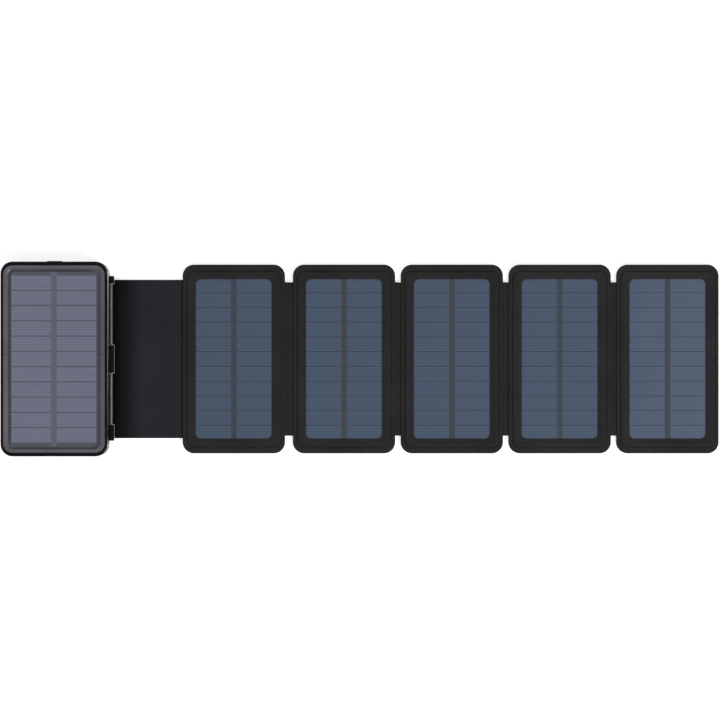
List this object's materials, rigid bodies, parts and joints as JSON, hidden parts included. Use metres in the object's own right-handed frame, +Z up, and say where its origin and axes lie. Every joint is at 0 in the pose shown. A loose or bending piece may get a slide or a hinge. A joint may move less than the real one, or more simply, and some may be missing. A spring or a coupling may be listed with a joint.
{
  "type": "folding solar charger",
  "caption": "Folding solar charger: a power bank with a solar face, a long pin hinge and a soft flap to a row of thin solar leaves that fold up over it.",
  "frame": {"origin": "centre of the power bank's underside, on the surface the open set lies on", "axes": "+X from the bank along the row of leaves, +Y towards the charging ports, +Z up out of the solar faces"},
  "size_m": [0.5736, 0.1556, 0.023],
  "materials": {
    "shell_black": "satin black polycarbonate",
    "bezel_grey": "satin grey moulding",
    "gasket_black": "soft foam seal",
    "cell_blue": "laminated blue-grey cells",
    "bank_cell_blue": "laminated grey-blue cells",
    "pouch_silver": "foil pouch",
    "board_green": "solder mask",
    "port_steel": "nickel plated",
    "button_grey": "matt",
    "pipe_clear": "clear diffusing plastic",
    "lens_clear": "clear polycarbonate",
    "cover_rubber": "matt",
    "screw_steel": "blackened",
    "bracket_black": "satin black",
    "pin_steel": "polished",
    "plate_steel": "bright",
    "flap_cloth": "fine grain, dark grey",
    "leaf_cloth": "fine grain, dark grey",
    "fold_cloth": "fine grain, dark grey",
    "stiffener_board": "pressed fibre board"
  },
  "bodies": {
    "power_bank": {"rear_shell": "shell_black", "front_bezel": "bezel_grey", "seal_gasket": "gasket_black", "bank_solar_plate": "bank_cell_blue", "battery_cell_1": "pouch_silver", "battery_cell_2": "pouch_silver", "circuit_board": "board_green", "usb_a_port_1": "port_steel", "usb_a_port_2": "port_steel", "usb_c_port": "port_steel", "light_pipe": "pipe_clear", "torch_lens": "lens_clear", "case_screw_1": "screw_steel", "case_screw_2": "screw_steel", "case_screw_3": "screw_steel", "case_screw_4": "screw_steel", "hinge_bracket": "bracket_black", "bracket_screw_1": "screw_steel", "bracket_screw_2": "screw_steel", "hinge_pin": "pin_steel"},
    "power_button": {"power_button": "button_grey"},
    "port_cover": {"port_cover": "cover_rubber"},
    "flap_inner": {"hinge_plate": "plate_steel", "flap_inner": "flap_cloth", "flap_crease_1": "flap_cloth"},
    "flap_middle": {"flap_middle": "flap_cloth", "flap_crease_2": "flap_cloth"},
    "flap_outer": {"flap_outer": "flap_cloth", "flap_crease_3": "flap_cloth"},
    "leaf_1": {"leaf_1_front_cover": "leaf_cloth", "leaf_1_solar_plate": "cell_blue", "leaf_1_board": "stiffener_board", "leaf_1_rear_cover": "leaf_cloth", "fold_1_2": "fold_cloth"},
    "leaf_2": {"leaf_2_front_cover": "leaf_cloth", "leaf_2_solar_plate": "cell_blue", "leaf_2_board": "stiffener_board", "leaf_2_rear_cover": "leaf_cloth", "fold_2_3": "fold_cloth"},
    "leaf_3": {"leaf_3_front_cover": "leaf_cloth", "leaf_3_solar_plate": "cell_blue", "leaf_3_board": "stiffener_board", "leaf_3_rear_cover": "leaf_cloth", "fold_3_4": "fold_cloth"},
    "leaf_4": {"leaf_4_front_cover": "leaf_cloth", "leaf_4_solar_plate": "cell_blue", "leaf_4_board": "stiffener_board", "leaf_4_rear_cover": "leaf_cloth", "fold_4_5": "fold_cloth"},
    "leaf_5": {"leaf_5_front_cover": "leaf_cloth", "leaf_5_solar_plate": "cell_blue", "leaf_5_board": "stiffener_board", "leaf_5_rear_cover": "leaf_cloth"}
  },
  "joints": [
    {"name": "flap_wrap", "type": "hinge", "parent": "power_bank", "child": "flap_inner", "pos_m": [0.044, 0, 0.005], "axis": [0, -1, 0], "range_deg": [0, 45]},
    {"name": "flap_crease_1", "type": "hinge", "parent": "flap_inner", "child": "flap_middle", "pos_m": [0.0626, 0, 0.00095], "axis": [0, -1, 0], "range_deg": [0, 45], "deforming": ["flap_crease_1"]},
    {"name": "flap_crease_2", "type": "hinge", "parent": "flap_middle", "child": "flap_outer", "pos_m": [0.0812, 0, 0.00095], "axis": [0, -1, 0], "range_deg": [0, 45], "deforming": ["flap_crease_2"]},
    {"name": "leaf_1_fold", "type": "hinge", "parent": "flap_outer", "child": "leaf_1", "pos_m": [0.0998, 0, 0.00095], "axis": [0, -1, 0], "range_deg": [0, 45], "deforming": ["flap_crease_3"]},
    {"name": "leaf_2_fold", "type": "hinge", "parent": "leaf_1", "child": "leaf_2", "pos_m": [0.18645, 0, 0.0046], "axis": [0, -1, 0], "range_deg": [0, 180], "deforming": ["fold_1_2"]},
    {"name": "leaf_3_fold", "type": "hinge", "parent": "leaf_2", "child": "leaf_3", "pos_m": [0.2738, 0, -0.0002], "axis": [0, 1, 0], "range_deg": [0, 180], "deforming": ["fold_2_3"]},
    {"name": "leaf_4_fold", "type": "hinge", "parent": "leaf_3", "child": "leaf_4", "pos_m": [0.3602, 0, 0.0046], "axis": [0, -1, 0], "range_deg": [0, 180], "deforming": ["fold_3_4"]},
    {"name": "leaf_5_fold", "type": "hinge", "parent": "leaf_4", "child": "leaf_5", "pos_m": [0.4466, 0, -0.0002], "axis": [0, 1, 0], "range_deg": [0, 180], "deforming": ["fold_4_5"]},
    {"name": "power_button_press", "type": "slide", "parent": "power_bank", "child": "power_button", "axis": [1, 0, 0], "range_m": [0, 0.0006], "stiffness_N_per_m": 400},
    {"name": "port_cover_hinge", "type": "hinge", "parent": "power_bank", "child": "port_cover", "pos_m": [0, 0.0773, 0.008], "axis": [-1, 0, 0], "range_deg": [0, 100]}
  ],
  "couplings": [
    {"joint": "flap_crease_1", "follows": "flap_wrap", "ratio": 1},
    {"joint": "flap_crease_2", "follows": "flap_wrap", "ratio": 1},
    {"joint": "leaf_1_fold", "follows": "flap_wrap", "ratio": 1},
    {"joint": "leaf_3_fold", "follows": "leaf_2_fold", "ratio": 1},
    {"joint": "leaf_4_fold", "follows": "leaf_2_fold", "ratio": 1},
    {"joint": "leaf_5_fold", "follows": "leaf_2_fold", "ratio": 1}
  ]
}
